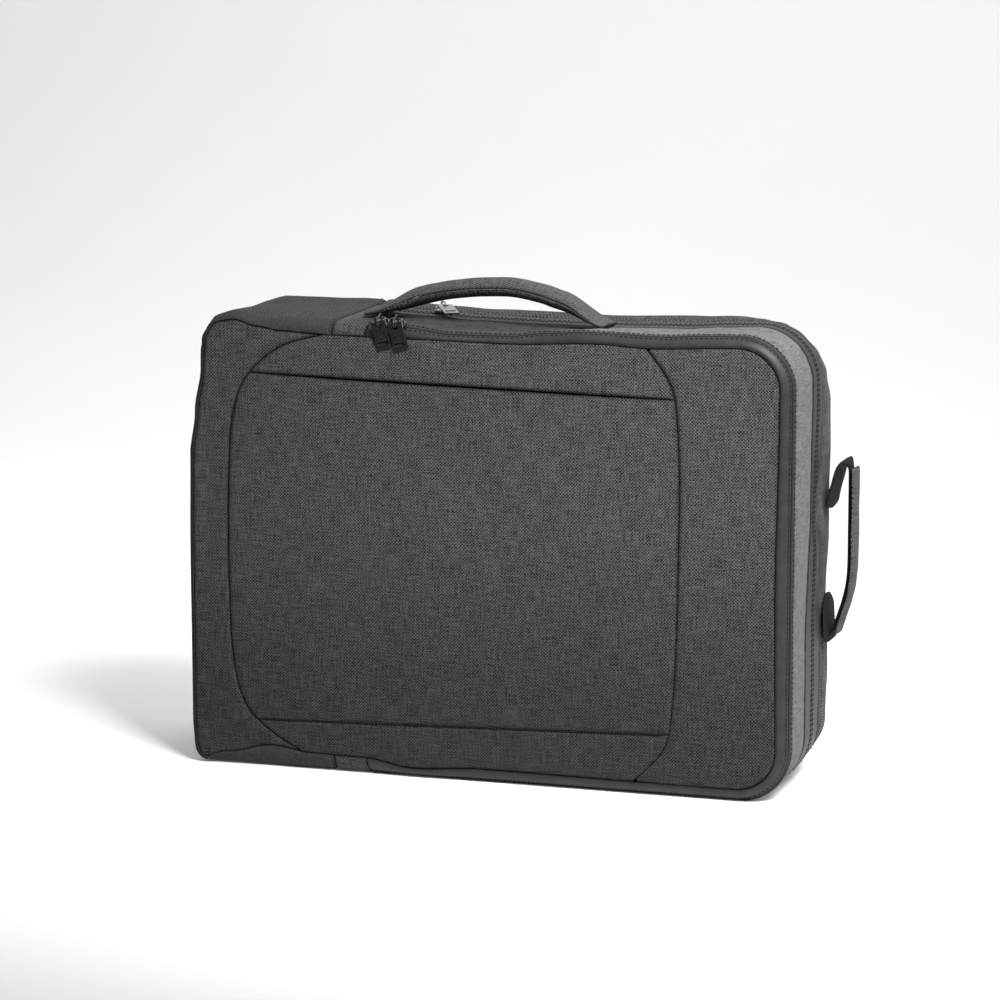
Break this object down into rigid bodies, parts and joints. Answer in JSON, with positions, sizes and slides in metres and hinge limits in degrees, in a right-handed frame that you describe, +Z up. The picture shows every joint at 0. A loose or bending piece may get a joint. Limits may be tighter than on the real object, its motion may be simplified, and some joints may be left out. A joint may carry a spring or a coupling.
{
  "type": "convertible backpack",
  "caption": "Slim convertible laptop backpack in dark grey melange cloth, standing on its long side as a briefcase, with zips, a padded top handle and a side handle.",
  "frame": {"origin": "on the floor under the middle of the whole bag, as it stands on its long side", "axes": "+X along the bag towards the side handle, +Y from the front pocket to the back, +Z up towards the top handle"},
  "size_m": [0.4398, 0.128, 0.3379],
  "materials": {
    "melange_cloth": "dark grey melange twill, padded",
    "smooth_cloth": "smooth dark grey cloth with a slight sheen",
    "coated_zip_tape": "coated water-resistant zip tape, satin",
    "mesh_cloth": "dark knitted spacer mesh",
    "webbing": "black woven webbing",
    "dark_metal": "glossy black plated metal",
    "bright_metal": "bright gunmetal plating"
  },
  "bodies": {
    "root": {"front_left_wing": "melange_cloth", "front_right_wing": "melange_cloth", "front_top_band": "melange_cloth", "front_pocket_panel": "melange_cloth", "front_bottom_band": "melange_cloth", "front_zip_front_tape": "coated_zip_tape", "front_zip_rear_tape": "coated_zip_tape", "front_zip_end_top": "melange_cloth", "front_zip_end_bottom": "melange_cloth", "middle_gusset": "melange_cloth", "rear_zip_front_tape": "coated_zip_tape", "rear_zip_rear_tape": "coated_zip_tape", "rear_zip_end_top": "melange_cloth", "rear_zip_end_bottom": "melange_cloth", "rear_gusset": "melange_cloth", "base_panel": "smooth_cloth", "back_panel": "smooth_cloth", "top_handle_sleeve": "melange_cloth", "top_handle_grip": "mesh_cloth", "side_handle_webbing": "webbing", "side_handle_cover": "melange_cloth", "front_slider_left": "dark_metal", "front_slider_right": "dark_metal", "rear_slider": "bright_metal", "front_loop_left": "dark_metal", "front_loop_right": "dark_metal", "rear_loop": "bright_metal", "front_pull_left": "dark_metal", "front_pull_right": "dark_metal", "rear_pull": "bright_metal"}
  },
  "joints": []
}
